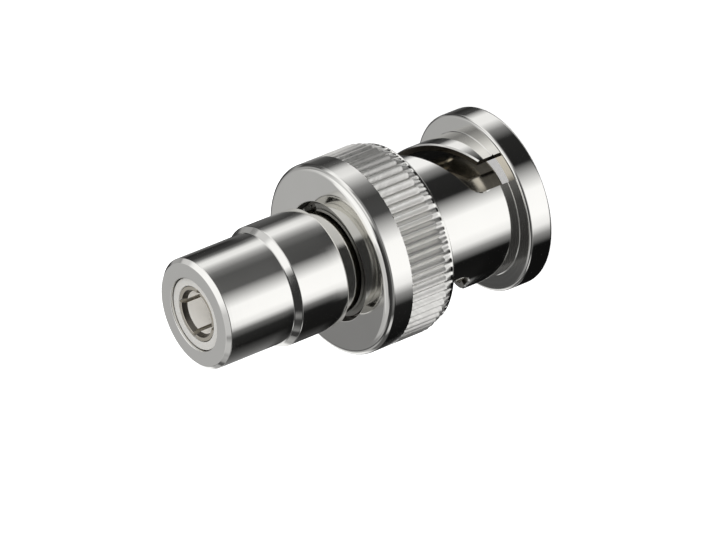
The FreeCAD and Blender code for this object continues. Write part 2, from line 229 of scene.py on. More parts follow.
ball = bmesh.new()
bmesh.ops.create_uvsphere(ball, u_segments=TENT_COLUMNS, v_segments=TENT_RINGS, radius=TENT_RADIUS * MM)
bmesh.ops.translate(ball, verts=ball.verts, vec=(0, 0, TENT_MIDDLE * MM))
tent_mesh = bpy.data.meshes.new("tent")
ball.to_mesh(tent_mesh)
ball.free()
tent_mesh.materials.append(tent_cloth)
tent = bpy.data.objects.new("tent", tent_mesh)
bpy.context.collection.objects.link(tent)
tent.visible_camera = False
tent.visible_diffuse = False
tent.visible_transmission = False
tent.visible_volume_scatter = False
tent.visible_shadow = False

# Lights: a plain white sky, and two soft lamps that give the shadow a direction. The lamps
# light what is matt, and the metal mirrors the tent instead.
SKY_LEVEL = 0.6
LAMPS = (  # name, place, width, power in watts
    ("key lamp", (-160, -260, 420), 300, 1.6),
    ("fill lamp", (300, -120, 260), 300, 0.7),
)

sky = bpy.data.worlds.new("white sky")
sky.use_nodes = True
bpy.context.scene.world = sky
tree = sky.node_tree
tree.nodes.clear()
path = add(tree, "ShaderNodeLightPath")
seen = add(tree, "ShaderNodeMath", {"operation": "ADD"}, _0=path.outputs["Is Camera Ray"],
           _1=path.outputs["Is Glossy Ray"])
through = add(tree, "ShaderNodeMath", {"operation": "ADD", "use_clamp": True}, _0=seen.outputs[0],
              _1=path.outputs["Is Transmission Ray"])
level = add(tree, "ShaderNodeMapRange", {"To Min": SKY_LEVEL, "To Max": 1.0}, Value=through.outputs[0])
white = add(tree, "ShaderNodeBackground", {"Color": linear("#ffffff")}, Strength=level.outputs[0])
add(tree, "ShaderNodeOutputWorld", Surface=white.outputs[0])

for name, stand, width, power in LAMPS:
    lamp_data = bpy.data.lights.new(name, "AREA")
    lamp_data.shape = "DISK"
    lamp_data.size = width * MM
    lamp_data.energy = power
    lamp = bpy.data.objects.new(name, lamp_data)
    spot = Vector(stand) * MM
    aim = (face_centre / 2 - spot).to_track_quat("-Z", "Y")
    lamp.matrix_world = Matrix.Translation(spot) @ aim.to_matrix().to_4x4()
    lamp.visible_glossy = False
    bpy.context.collection.objects.link(lamp)


# The body: a turned brass core, nickel-plated. Its flange carries the gasket, the nut turns
# on its neck, and its spigot is pressed into the phono shell.
NECK_RADIUS = 3.9
RING_GROOVE_RADIUS = 3.5
RING_GROOVE_EDGE = 0.03
FLANGE_THICKNESS = 1.2
SPIGOT_RADIUS = 3.59
BODY_BORE_RADIUS = 2.9
TAIL_BORE_RADIUS = 3.46
TAIL_BORE_DEPTH = 2.0
TURNED_COLUMNS = 192
SAME_POINT = 0.001
EDGE_BREAK = 0.06
EDGE_STEPS = 3
SHARP_COSINE = math.cos(math.radians(40))
SAME_SURFACE_COSINE = math.cos(math.radians(4))
WIDE_SHARE = 0.4
FILLET_FROM = 0.2
FILLET_STEPS = 7
NICKEL_WHITE = "#f8f7f4"
NICKEL_SHADE = "#efeeea"
TOOL_FEED = 0.28
TOOL_MARK_DEPTH = 0.0004
STAIN_WIDTH = 5.0
NOISE_LOW, NOISE_HIGH = 0.3, 0.7
BRIGHT_ROUGHNESS = 0.07


def turned_mesh(profile, columns=TURNED_COLUMNS, edge_break=EDGE_BREAK):
    """A bmesh spun about the axis from the corners of its section, as (radius, height) or
    (radius, height, rounding). A corner without its own rounding gets the edge break."""
    spun = bmesh.new()
    corners = [spun.verts.new((radius * MM, 0, height * MM)) for radius, height, *_ in profile]
    spun.faces.new(corners)
    for corner, (radius, _, *own) in zip(corners, profile):
        rounding = own[0] if own else edge_break
        if radius > 0 and rounding > 0:
            bmesh.ops.bevel(spun, geom=[corner], offset=rounding * MM, offset_type="OFFSET",
                            segments=FILLET_STEPS if rounding >= FILLET_FROM else EDGE_STEPS,
                            profile=0.5, affect="VERTICES", clamp_overlap=True, material=-1)
    bmesh.ops.delete(spun, geom=spun.faces[:], context="FACES_ONLY")
    bmesh.ops.spin(spun, geom=spun.verts[:] + spun.edges[:], cent=(0, 0, 0), axis=(0, 0, 1),
                   angle=2 * math.pi, steps=columns, use_merge=True)
    bmesh.ops.remove_doubles(spun, verts=spun.verts, dist=SAME_POINT * MM)
    bmesh.ops.recalc_face_normals(spun, faces=spun.faces)
    return spun


def even_normals(shape):
    """A shading normal for every corner of every face. It is the mean of the faces that meet there
    at less than the sharp angle, and beside a much wider surface a narrow rounding counts for
    nothing, so that flats and round walls mirror evenly up to their edges."""
    shape.normal_update()
    shape.faces.index_update()
    areas = [face.calc_area() for face in shape.faces]
    normals = []
    for face in shape.faces:
        for corner in face.verts:
            near = [other for other in corner.link_faces
                    if face.normal.dot(other.normal) > SHARP_COSINE] or [face]
            widest = max(near, key=lambda other: areas[other.index])
            main = [other.normal for other in near if areas[other.index] > areas[widest.index] * WIDE_SHARE
                    or other.normal.dot(widest.normal) > SAME_SURFACE_COSINE]
            normals.append(sum(main, Vector()).normalized())
    return normals


def finish_piece(shape, name, node, body, slot, *materials):
    """Makes the object, smooths it with its corners kept, and has it stand for its frame node."""
    mesh = bpy.data.meshes.new(name)
    shape.to_mesh(mesh)
    normals = even_normals(shape)
    shape.free()
    for material in materials:
        mesh.materials.append(material)
    mesh.shade_smooth()
    mesh.normals_split_custom_set(normals)
    piece = bpy.data.objects.new(name, mesh)
    bpy.context.collection.objects.link(piece)
    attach(piece, body)
    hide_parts(node)
    return piece


def turned_metal(name, bright, shade, roughness, mark_depth, feed=TOOL_FEED, metallic=1.0):
    """Turned metal: faint rings of the tool, one feed apart, and a slight clouding of the surface."""
    material, tree = new_material(name)
    place = add(tree, "ShaderNodeTexCoord")
    axes = add(tree, "ShaderNodeSeparateXYZ", _0=place.outputs["Object"])
    across = add(tree, "ShaderNodeVectorMath", {"operation": "MULTIPLY", 1: (1.0, 1.0, 0.0)},
                 _0=place.outputs["Object"])
    radius = add(tree, "ShaderNodeVectorMath", {"operation": "LENGTH"}, _0=across.outputs[0])
    along = add(tree, "ShaderNodeMath", {"operation": "ADD"}, _0=axes.outputs["Z"],
                _1=radius.outputs["Value"])
    rings = add(tree, "ShaderNodeCombineXYZ", X=along.outputs[0])
    marks = add(tree, "ShaderNodeTexNoise", {"Scale": 1 / (feed * MM), "Detail": 3.0},
                Vector=rings.outputs[0])
    cloud = add(tree, "ShaderNodeTexNoise", {"Scale": 1 / (STAIN_WIDTH * MM), "Detail": 4.0},
                Vector=place.outputs["Object"])
    colour = add(tree, "ShaderNodeMix", {"data_type": "RGBA", 6: linear(bright), 7: linear(shade)},
                 _0=cloud.outputs["Fac"])
    rough = add(tree, "ShaderNodeMapRange", {
        "From Min": NOISE_LOW, "From Max": NOISE_HIGH, "To Min": roughness * 0.8, "To Max": roughness * 1.3,
    }, Value=marks.outputs["Fac"])
    relief = add(tree, "ShaderNodeBump", {"Strength": 1.0, "Distance": mark_depth * MM},
                 Height=marks.outputs["Fac"])
    metal = add(tree, "ShaderNodeBsdfPrincipled", {"Metallic": metallic}, Base_Color=colour.outputs[2],
                Roughness=rough.outputs[0], Normal=relief.outputs[0])
    add(tree, "ShaderNodeOutputMaterial", Surface=metal.outputs[0])
    return material


# Bright nickel plate on turned brass: a near mirror with a warm white tone, where fine tool
# rings soften the edges of what it reflects.
bright_nickel = turned_metal("bright nickel on turned brass", NICKEL_WHITE, NICKEL_SHADE, BRIGHT_ROUGHNESS,
                             TOOL_MARK_DEPTH)

body_low, body_high = (corner / MM for corner in map(Vector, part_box("body")))
gap_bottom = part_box("retaining_ring")[0][2] / MM - RING_GROOVE_EDGE
gap_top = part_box("retaining_ring")[1][2] / MM + RING_GROOVE_EDGE
shell_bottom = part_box("rca_shell")[0][2] / MM
body = turned_mesh([
    (TAIL_BORE_RADIUS, body_low.z),
    (body_high.x, body_low.z),
    (body_high.x, body_low.z + FLANGE_THICKNESS),
    (NECK_RADIUS, body_low.z + FLANGE_THICKNESS),
    (NECK_RADIUS, gap_bottom),
    (RING_GROOVE_RADIUS, gap_bottom),
    (RING_GROOVE_RADIUS, gap_top),
    (NECK_RADIUS, gap_top),
    (NECK_RADIUS, shell_bottom),
    (SPIGOT_RADIUS, shell_bottom),
    (SPIGOT_RADIUS, body_high.z),
    (BODY_BORE_RADIUS, body_high.z),
    (BODY_BORE_RADIUS, body_low.z + TAIL_BORE_DEPTH),
    (TAIL_BORE_RADIUS, body_low.z + TAIL_BORE_DEPTH),
])
finish_piece(body, "turned_body", "body", "root", "nickel", bright_nickel)

# The plug's outer contact: a thin sleeve of turned spring bronze, nickel-plated. Four saw cuts
# make it springy, its shoulder carries the gasket, and its tail is pressed into the body.
SLEEVE_RADIUS = 4.05
SLEEVE_BORE_RADIUS = 3.5
SLEEVE_TIP_ROUNDING = 0.2
SHOULDER_RADIUS = 4.25
SLEEVE_TAIL_RADIUS = 3.45
SLEEVE_LIP_THICKNESS = 0.6
SLEEVE_CUT_WIDTH = 0.5
SLEEVE_CUT_LENGTH = 3.8
CUT_OVERRUN = 1.0
BRONZE_NICKEL = "#e4dfd4"
BRONZE_NICKEL_SHADE = "#d2cabb"
SATIN_ROUGHNESS = 0.14
SATIN_MARK_DEPTH = 0.0006


def cut_away(shape, *tools):
    """Takes the solid of each tool out of the shape, and gives what is left."""
    blank = bpy.data.objects.new("blank", bpy.data.meshes.new("blank"))
    shape.to_mesh(blank.data)
    shape.free()
    spent = [blank]
    bpy.context.collection.objects.link(blank)
    for tool in tools:
        cutter = bpy.data.objects.new("cutter", bpy.data.meshes.new("cutter"))
        tool.to_mesh(cutter.data)
        tool.free()
        bpy.context.collection.objects.link(cutter)
        spent.append(cutter)
        boolean = blank.modifiers.new("cut", "BOOLEAN")
        boolean.operation = "DIFFERENCE"
        boolean.solver = "EXACT"
        boolean.object = cutter
    left = bmesh.new()
    left.from_object(blank, bpy.context.evaluated_depsgraph_get())
    for used in spent:
        mesh = used.data
        bpy.data.objects.remove(used)
        bpy.data.meshes.remove(mesh)
    bmesh.ops.remove_doubles(left, verts=left.verts, dist=SAME_POINT * MM)
    return left


def saw_blades(width, reach, bottom, top, first_turn=0):
    """Two flat blades crossed on the axis, which cut four slots into a round wall."""
    blades = []
    for turn in (first_turn, first_turn + 90):
        blade = bmesh.new()
        bmesh.ops.create_cube(blade, size=1)
        bmesh.ops.scale(blade, verts=blade.verts, vec=Vector((2 * reach, width, top - bottom)) * MM)
        bmesh.ops.translate(blade, verts=blade.verts, vec=(0, 0, (bottom + top) / 2 * MM))
        bmesh.ops.rotate(blade, verts=blade.verts, cent=(0, 0, 0),
                         matrix=Matrix.Rotation(math.radians(turn), 3, "Z"))
        blades.append(blade)
    return blades


# Nickel on spring bronze: satin, a little yellower and darker than the plate on the outside.
bronze_nickel = turned_metal("satin nickel on spring bronze", BRONZE_NICKEL, BRONZE_NICKEL_SHADE,
                             SATIN_ROUGHNESS, SATIN_MARK_DEPTH)

sleeve_low, sleeve_high = (corner / MM for corner in map(Vector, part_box("bnc_outer_contact")))
gasket_low, gasket_high = (corner / MM for corner in map(Vector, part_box("gasket")))
sleeve = turned_mesh([
    (SLEEVE_BORE_RADIUS, sleeve_low.z),
    (SLEEVE_RADIUS, sleeve_low.z, SLEEVE_TIP_ROUNDING),
    (SLEEVE_RADIUS, gasket_low.z),
    (SHOULDER_RADIUS, gasket_low.z),
    (SHOULDER_RADIUS, gasket_high.z),
    (SLEEVE_TAIL_RADIUS, gasket_high.z),
    (SLEEVE_TAIL_RADIUS, sleeve_high.z),
    (BODY_BORE_RADIUS, sleeve_high.z),
    (BODY_BORE_RADIUS, gasket_high.z - SLEEVE_LIP_THICKNESS),
    (SLEEVE_BORE_RADIUS, gasket_high.z - SLEEVE_LIP_THICKNESS),
])
sleeve = cut_away(sleeve, *saw_blades(SLEEVE_CUT_WIDTH, SHOULDER_RADIUS + CUT_OVERRUN,
                                      sleeve_low.z - CUT_OVERRUN, sleeve_low.z + SLEEVE_CUT_LENGTH))
finish_piece(sleeve, "slotted_sleeve", "bnc_outer_contact", "root", "contact", bronze_nickel)

# The plug's insulator: white PTFE, turned to a cup with a thick floor, and pushed into the
# sleeve from the body's side. It holds the centre pin.
CUP_BORE_RADIUS = 2.45
CUP_FLOOR_HEIGHT = 8.59
PIN_HOLE_RADIUS = 0.705
SHANK_HOLE_RADIUS = 1.13
SHANK_HOLE_BOTTOM = 9.39
STEM_RADIUS = 2.85
STEM_BOTTOM = 9.56
CUP_MOUTH_ROUNDING = 0.15
CUP_RIM_ROUNDING = 0.12
CUP_CORNER_ROUNDING = 0.2
PTFE_WHITE = "#efeee9"
PTFE_SHADE = "#e2e0d8"
CUT_RINGS = 0.12
CUT_RING_DEPTH = 0.004
CLOUD_WIDTH = 1.6


def white_plastic(name, bright, shade, roughness, ring_depth, ring_spacing, glow):
    """White plastic: milky by its share of glow, softly clouded, with rings from turning or the mould."""
    material, tree = new_material(name)
    place = add(tree, "ShaderNodeTexCoord")
    across = add(tree, "ShaderNodeVectorMath", {"operation": "MULTIPLY", 1: (1.0, 1.0, 0.0)},
                 _0=place.outputs["Object"])
    radius = add(tree, "ShaderNodeVectorMath", {"operation": "LENGTH"}, _0=across.outputs[0])
    rings = add(tree, "ShaderNodeCombineXYZ", X=radius.outputs["Value"])
    marks = add(tree, "ShaderNodeTexNoise", {"Scale": 1 / (ring_spacing * MM), "Detail": 2.0},
                Vector=rings.outputs[0])
    cloud = add(tree, "ShaderNodeTexNoise", {"Scale": 1 / (CLOUD_WIDTH * MM), "Detail": 5.0},
                Vector=place.outputs["Object"])
    colour = add(tree, "ShaderNodeMix", {"data_type": "RGBA", 6: linear(bright), 7: linear(shade)},
                 _0=cloud.outputs["Fac"])
    rough = add(tree, "ShaderNodeMapRange", {
        "From Min": NOISE_LOW, "From Max": NOISE_HIGH, "To Min": roughness * 0.9, "To Max": roughness * 1.15,
    }, Value=cloud.outputs["Fac"])
    relief = add(tree, "ShaderNodeBump", {"Strength": 0.6, "Distance": ring_depth * MM},
                 Height=marks.outputs["Fac"])
    plastic = add(tree, "ShaderNodeBsdfPrincipled", {
        "Subsurface Weight": glow, "Subsurface Radius": (1.0, 0.9, 0.8), "Subsurface Scale": 0.6 * MM,
    }, Base_Color=colour.outputs[2], Roughness=rough.outputs[0], Normal=relief.outputs[0])
    add(tree, "ShaderNodeOutputMaterial", Surface=plastic.outputs[0])
    return material


# PTFE, turned: waxy white that light goes a little way into, with fine rings from the tool.
ptfe = white_plastic("turned white PTFE", PTFE_WHITE, PTFE_SHADE, roughness=0.5, ring_depth=CUT_RING_DEPTH,
                     ring_spacing=CUT_RINGS, glow=0.25)

cup_low, cup_high = (corner / MM for corner in map(Vector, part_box("bnc_insulator")))
cup = turned_mesh([
    (CUP_BORE_RADIUS, cup_low.z, CUP_MOUTH_ROUNDING),
    (cup_high.x, cup_low.z, CUP_RIM_ROUNDING),
    (cup_high.x, STEM_BOTTOM),
    (STEM_RADIUS, STEM_BOTTOM),
    (STEM_RADIUS, cup_high.z),
    (SHANK_HOLE_RADIUS, cup_high.z),
    (SHANK_HOLE_RADIUS, SHANK_HOLE_BOTTOM),
    (PIN_HOLE_RADIUS, SHANK_HOLE_BOTTOM),
    (PIN_HOLE_RADIUS, CUP_FLOOR_HEIGHT),
    (CUP_BORE_RADIUS, CUP_FLOOR_HEIGHT, CUP_CORNER_ROUNDING),
])
finish_piece(cup, "plug_insulator", "bnc_insulator", "root", "ptfe", ptfe)

# The centre pin: turned brass, gold-plated, with a blunt rounded point. The contact of the
# phono socket is soldered into the hole in its shank.
PIN_RADIUS = 0.675
PIN_POINT_RADIUS = 0.25
PIN_POINT_LENGTH = 1.1
PIN_POINT_ROUNDING = 0.15
PIN_NECK_ROUNDING = 0.25
PIN_SHANK_BOTTOM = 9.42
PIN_HOLE_BOTTOM = 11.95
SPIGOT_HOLE_RADIUS = 0.61
GOLD_BRIGHT = "#f0cd84"
GOLD_SHADE = "#dcb264"
SMALL_COLUMNS = 96

# Gold on turned brass: warm yellow and bright, with hardly any tool marks on so small a pin.
gold_plate = turned_metal("gold on turned brass", GOLD_BRIGHT, GOLD_SHADE, roughness=0.13, mark_depth=0.0003,
                          feed=0.15)

pin_low, pin_high = (corner / MM for corner in map(Vector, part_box("bnc_pin")))
pin = turned_mesh([
    (0, pin_low.z),
    (PIN_POINT_RADIUS, pin_low.z, PIN_POINT_ROUNDING),
    (PIN_RADIUS, pin_low.z + PIN_POINT_LENGTH, PIN_NECK_ROUNDING),
    (PIN_RADIUS, PIN_SHANK_BOTTOM),
    (pin_high.x, PIN_SHANK_BOTTOM),
    (pin_high.x, pin_high.z),
    (SPIGOT_HOLE_RADIUS, pin_high.z),
    (SPIGOT_HOLE_RADIUS, PIN_HOLE_BOTTOM),
    (0, PIN_HOLE_BOTTOM),
], columns=SMALL_COLUMNS)
finish_piece(pin, "centre_pin", "bnc_pin", "root", "gold", gold_plate)

# The gasket: a moulded ring of black silicone rubber round the sleeve's shoulder. The end of
# the jack's barrel seals against it.
GASKET_BORE_RADIUS = 4.3
SILICONE_BLACK = "#2c2b2a"
SILICONE_DUSTY = "#4d4b48"
RUBBER_GRAIN = 0.09
GASKET_FRONT_ROUNDING = 0.12
GASKET_BACK_ROUNDING = 0.1

gasket = turned_mesh([
    (GASKET_BORE_RADIUS, gasket_low.z, GASKET_FRONT_ROUNDING),
    (gasket_high.x, gasket_low.z, GASKET_FRONT_ROUNDING),
    (gasket_high.x, gasket_high.z, GASKET_BACK_ROUNDING),
    (GASKET_BORE_RADIUS, gasket_high.z, GASKET_BACK_ROUNDING),
])

# Silicone rubber, moulded: dull and even, a fine grain from the mould, and a bloom of dust.
silicone, tree = new_material("moulded silicone rubber")
place = add(tree, "ShaderNodeTexCoord")
grain = add(tree, "ShaderNodeTexNoise", {"Scale": 1 / (RUBBER_GRAIN * MM), "Detail": 3.0},
            Vector=place.outputs["Object"])
dust = add(tree, "ShaderNodeTexNoise", {"Scale": 1 / (CLOUD_WIDTH * MM), "Detail": 6.0},
           Vector=place.outputs["Object"])
bloom = add(tree, "ShaderNodeMapRange", {"From Min": 0.45, "From Max": 0.8, "To Max": 0.6},
            Value=dust.outputs["Fac"])
colour = add(tree, "ShaderNodeMix", {
    "data_type": "RGBA", 6: linear(SILICONE_BLACK), 7: linear(SILICONE_DUSTY),
}, _0=bloom.outputs[0])
relief = add(tree, "ShaderNodeBump", {"Strength": 0.5, "Distance": 0.01 * MM}, Height=grain.outputs["Fac"])
rubber = add(tree, "ShaderNodeBsdfPrincipled", {"Roughness": 0.62, "Specular IOR Level": 0.4},
             Base_Color=colour.outputs[2], Normal=relief.outputs[0])
add(tree, "ShaderNodeOutputMaterial", Surface=rubber.outputs[0])
finish_piece(gasket, "silicone_gasket", "gasket", "root", "silicone", silicone)

# The wave washer and the retaining ring: cold-rolled spring steel, punched and hardened. The
# washer presses the nut back, and the open ring keeps the nut on.
STEEL_BRIGHT = "#a9a8a4"
STEEL_SHADE = "#8f8e8a"
ROLL_GRAIN = 0.05
ROLL_STRETCH = 0.06
RING_SECTION = 0.8
RING_GAP = 1.6
RING_ROUNDING = 0.08
RING_BORE_SLACK = 0.03
WAVE_INNER_RADIUS = 3.95
WAVE_OUTER_RADIUS = 4.75
WAVE_SHEET = 0.2
WAVE_COUNT = 3
WAVE_EDGE = 0.03

# Rolled spring steel: grey and satin, with the short straight grain of the rolls.
spring_steel, tree = new_material("rolled spring steel")
place = add(tree, "ShaderNodeTexCoord")
stretch = add(tree, "ShaderNodeMapping", {"Scale": (1.0, ROLL_STRETCH, 1.0)}, Vector=place.outputs["Object"])
grain = add(tree, "ShaderNodeTexNoise", {"Scale": 1 / (ROLL_GRAIN * MM), "Detail": 4.0},
            Vector=stretch.outputs[0])
colour = add(tree, "ShaderNodeMix", {"data_type": "RGBA", 6: linear(STEEL_BRIGHT), 7: linear(STEEL_SHADE)},
             _0=grain.outputs["Fac"])
rough = add(tree, "ShaderNodeMapRange", {
    "From Min": NOISE_LOW, "From Max": NOISE_HIGH, "To Min": 0.26, "To Max": 0.4,
}, Value=grain.outputs["Fac"])
relief = add(tree, "ShaderNodeBump", {"Strength": 0.4, "Distance": 0.002 * MM}, Height=grain.outputs["Fac"])
steel = add(tree, "ShaderNodeBsdfPrincipled", {"Metallic": 1.0}, Base_Color=colour.outputs[2],
            Roughness=rough.outputs[0], Normal=relief.outputs[0])
add(tree, "ShaderNodeOutputMaterial", Surface=steel.outputs[0])

wave_low, wave_high = (corner / MM for corner in map(Vector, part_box("wave_washer")))
wave = turned_mesh([
    (WAVE_INNER_RADIUS, wave_low.z, WAVE_EDGE),
    (WAVE_OUTER_RADIUS, wave_low.z, WAVE_EDGE),
    (WAVE_OUTER_RADIUS, wave_low.z + WAVE_SHEET, WAVE_EDGE),
    (WAVE_INNER_RADIUS, wave_low.z + WAVE_SHEET, WAVE_EDGE),
])
wave_height = wave_high.z - wave_low.z
for corner in wave.verts:
    around = WAVE_COUNT * math.atan2(corner.co.y, corner.co.x)
    corner.co.z += (wave_height - WAVE_SHEET) / 2 * (1 - math.cos(around)) * MM
wave_spring = finish_piece(wave, "wave_spring", "wave_washer", "root", "spring_steel", spring_steel)
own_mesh(wave_spring)

ring_low, ring_high = (corner / MM for corner in map(Vector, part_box("retaining_ring")))
ring_bore_radius = ring_high.y - RING_SECTION + RING_BORE_SLACK
ring_blade = bmesh.new()
bmesh.ops.create_cube(ring_blade, size=1)
bmesh.ops.scale(ring_blade, verts=ring_blade.verts, vec=Vector((
    2 * RING_SECTION + CUT_OVERRUN, RING_GAP, ring_high.z - ring_low.z + CUT_OVERRUN)) * MM)
bmesh.ops.translate(ring_blade, verts=ring_blade.verts,
                    vec=Vector((ring_high.y, 0, (ring_low.z + ring_high.z) / 2)) * MM)
ring = cut_away(turned_mesh([
    (ring_bore_radius, ring_low.z, RING_ROUNDING),
    (ring_high.y, ring_low.z, RING_ROUNDING),
    (ring_high.y, ring_high.z, RING_ROUNDING),
    (ring_bore_radius, ring_high.z, RING_ROUNDING),
]), ring_blade)
finish_piece(ring, "open_ring", "retaining_ring", "root", "spring_steel", spring_steel)

# The thrust washer: a flat ring punched from brass strip and nickel-plated. It moves along the
# neck with the nut, between the wave washer and the nut's web.
washer_nickel = turned_metal("dull nickel on punched brass", BRONZE_NICKEL, BRONZE_NICKEL_SHADE,
                             roughness=0.3, mark_depth=0.002, feed=0.12)
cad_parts["thrust_washer"].material_slots[0].material = washer_nickel

# The coupling nut: turned brass with a flange, a slotted barrel, a straight knurl and a smooth
# collar, nickel-plated. Two milled slots lead the jack's lugs up a ramp into a round seat.
NUT_FLANGE_TOP = 2.0
NUT_FLANGE_RADIUS = 6.75
NUT_FLANGE_ROUNDING = 0.25
NUT_BARREL_RADIUS = 5.45
NUT_BORE_RADIUS = 4.95
NUT_BORE_CHAMFER = 0.25
KNURL_BOTTOM = 9.0
KNURL_RIM_WIDTH = 0.35
KNURL_RIM_ROUNDING = 0.15
KNURL_BEVEL = 0.6
KNURL_DEPTH = 0.3
KNURL_TEETH = 62
COLUMNS_PER_TOOTH = 8
GROOVE_RUNOUT = 0.05
COLLAR_BOTTOM = 13.0
COLLAR_ROUNDING = 0.6
RING_RECESS_RADIUS = 4.5
RING_RECESS_DEPTH = 0.95
RECESS_WALL_INSIDE = 4.45
NEAR_WALL = 0.01
SLOT_WALL_LEAN = 0.5
NUT_WEB = 1.3
NUT_HOLE_RADIUS = 3.95
LUG_COUNT = 2
LUG_SLOT_RADIUS = 1.15
LUG_ENTRY_HEIGHT = 4.0
LUG_RISE = 3.4
LUG_TURN = math.radians(90)
LUG_SEAT_RADIUS = 1.3
LUG_SEAT_DROP = 0.15
LUG_ENTRY_BEARING = math.radians(-73)
KEYWAY_RADIUS = 5.65
SLOT_EDGE = 0.1
SLOT_PAINTED_SHADE = "#6f6a61"
SLOT_PAINTED_SHADE_DARK = "#57534b"
SLOT_SHADE_ROUGHNESS = 0.35
KNURL_ROUGHNESS = 0.43
MILL_COLUMNS = 50
BEND_STEPS = 30


def bent_round(tool, bearing, height):
    """Bends a flat tool, whose x runs round the barrel, y up it and z out of it, about the axis,
    and adds its twin on the other side of the nut."""
    for corner in tool.verts:
        out = corner.co.z
        turned = bearing + corner.co.x / (NUT_BARREL_RADIUS * MM)
        corner.co = (out * math.cos(turned), out * math.sin(turned), corner.co.y + height * MM)
    twin = bmesh.ops.duplicate(tool, geom=tool.verts[:] + tool.edges[:] + tool.faces[:])
    bmesh.ops.rotate(tool, verts=[part for part in twin["geom"] if isinstance(part, bmesh.types.BMVert)],
                     cent=(0, 0, 0), matrix=Matrix.Rotation(2 * math.pi / LUG_COUNT, 3, "Z"))
    return tool


def cut_across(tool, low, high, steps):
    """Cuts a tool into strips along its x, so that it bends smoothly."""
    for step in range(1, steps):
        bmesh.ops.bisect_plane(tool, geom=tool.verts[:] + tool.edges[:] + tool.faces[:],
                               plane_co=((low + (high - low) * step / steps) * MM, 0, 0), plane_no=(1, 0, 0))


def end_mill(radius, travel=0.0):
    """What a round mill takes out of the barrel's wall, with the edge broken on the outside."""
    mill = turned_mesh([
        (0, NUT_BORE_RADIUS - NUT_BORE_CHAMFER),
        (radius, NUT_BORE_RADIUS - NUT_BORE_CHAMFER),
        (radius, NUT_BARREL_RADIUS - SLOT_EDGE),
        (radius + 2 * SLOT_EDGE, NUT_BARREL_RADIUS + SLOT_EDGE),
        (0, NUT_BARREL_RADIUS + SLOT_EDGE),
    ], columns=MILL_COLUMNS, edge_break=0)
    for corner in mill.verts:
        if corner.co.x > SAME_POINT * MM:
            corner.co.x += travel * MM
    cut_across(mill, -radius, radius + travel, BEND_STEPS if travel else BEND_STEPS // 4)
    return mill


nut_low, nut_high = (corner / MM for corner in map(Vector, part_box("coupling_nut")))
knurl_tip = nut_high.x
knurl_root = knurl_tip - KNURL_DEPTH
teeth_bottom = KNURL_BOTTOM + KNURL_RIM_WIDTH
web_bottom = nut_high.z - RING_RECESS_DEPTH - NUT_WEB
nut = turned_mesh([
    (NUT_BORE_RADIUS, 0, NUT_BORE_CHAMFER),
    (NUT_FLANGE_RADIUS, 0, NUT_FLANGE_ROUNDING),
    (NUT_FLANGE_RADIUS, NUT_FLANGE_TOP, NUT_FLANGE_ROUNDING),
    (NUT_BARREL_RADIUS, NUT_FLANGE_TOP),
    (NUT_BARREL_RADIUS, KNURL_BOTTOM),
    (knurl_root, KNURL_BOTTOM, KNURL_RIM_ROUNDING),
    (knurl_root, teeth_bottom, 0),
    (knurl_tip, teeth_bottom + KNURL_BEVEL, EDGE_BREAK),
    (knurl_tip, COLLAR_BOTTOM - GROOVE_RUNOUT, 0),
    (knurl_tip, COLLAR_BOTTOM, 0),
    (knurl_tip, COLLAR_BOTTOM + GROOVE_RUNOUT, 0),
    (knurl_tip, nut_high.z, COLLAR_ROUNDING),
    (RING_RECESS_RADIUS, nut_high.z),
    (RING_RECESS_RADIUS, nut_high.z - RING_RECESS_DEPTH),
    (NUT_HOLE_RADIUS, nut_high.z - RING_RECESS_DEPTH),
    (NUT_HOLE_RADIUS, web_bottom),
    (NUT_BORE_RADIUS, web_bottom),
], columns=KNURL_TEETH * COLUMNS_PER_TOOTH)
for corner in nut.verts:
    radius = Vector((corner.co.x, corner.co.y)).length / MM
    if radius > knurl_root and teeth_bottom < corner.co.z / MM < COLLAR_BOTTOM - GROOVE_RUNOUT / 2:
        tooth = math.atan2(corner.co.y, corner.co.x) * KNURL_TEETH
        cut = knurl_root + (radius - knurl_root) * (1 + math.cos(tooth)) / 2
        corner.co.x *= cut / radius
        corner.co.y *= cut / radius

ramp_travel = LUG_TURN * NUT_BARREL_RADIUS
ramp = end_mill(LUG_SLOT_RADIUS, math.hypot(ramp_travel, LUG_RISE))
bmesh.ops.rotate(ramp, verts=ramp.verts, cent=(0, 0, 0),
                 matrix=Matrix.Rotation(math.atan2(LUG_RISE, ramp_travel), 3, "Z"))
seat = end_mill(LUG_SEAT_RADIUS)
keyway = bmesh.new()
bmesh.ops.create_cube(keyway, size=1)
bmesh.ops.translate(keyway, verts=keyway.verts, vec=(0, 0, 0.5))
bmesh.ops.scale(keyway, verts=keyway.verts, vec=Vector((
    2 * LUG_SLOT_RADIUS, 2 * LUG_ENTRY_HEIGHT, KEYWAY_RADIUS - NUT_BORE_RADIUS + NUT_BORE_CHAMFER)) * MM)
bmesh.ops.translate(keyway, verts=keyway.verts, vec=(0, 0, (NUT_BORE_RADIUS - NUT_BORE_CHAMFER) * MM))
cut_across(keyway, -LUG_SLOT_RADIUS, LUG_SLOT_RADIUS, BEND_STEPS // 4)
nut = cut_away(
    nut,
    bent_round(ramp, LUG_ENTRY_BEARING, LUG_ENTRY_HEIGHT),
    bent_round(seat, LUG_ENTRY_BEARING + LUG_TURN, LUG_ENTRY_HEIGHT + LUG_RISE - LUG_SEAT_DROP),
    bent_round(keyway, LUG_ENTRY_BEARING, 0),
)

# Darker nickel in the slots and the ring's recess: painted shade in these hollows, and half dull.
slot_shade_nickel = turned_metal("nickel darkened with painted shade in the slots", SLOT_PAINTED_SHADE, SLOT_PAINTED_SHADE_DARK,
                             SLOT_SHADE_ROUGHNESS, TOOL_MARK_DEPTH)

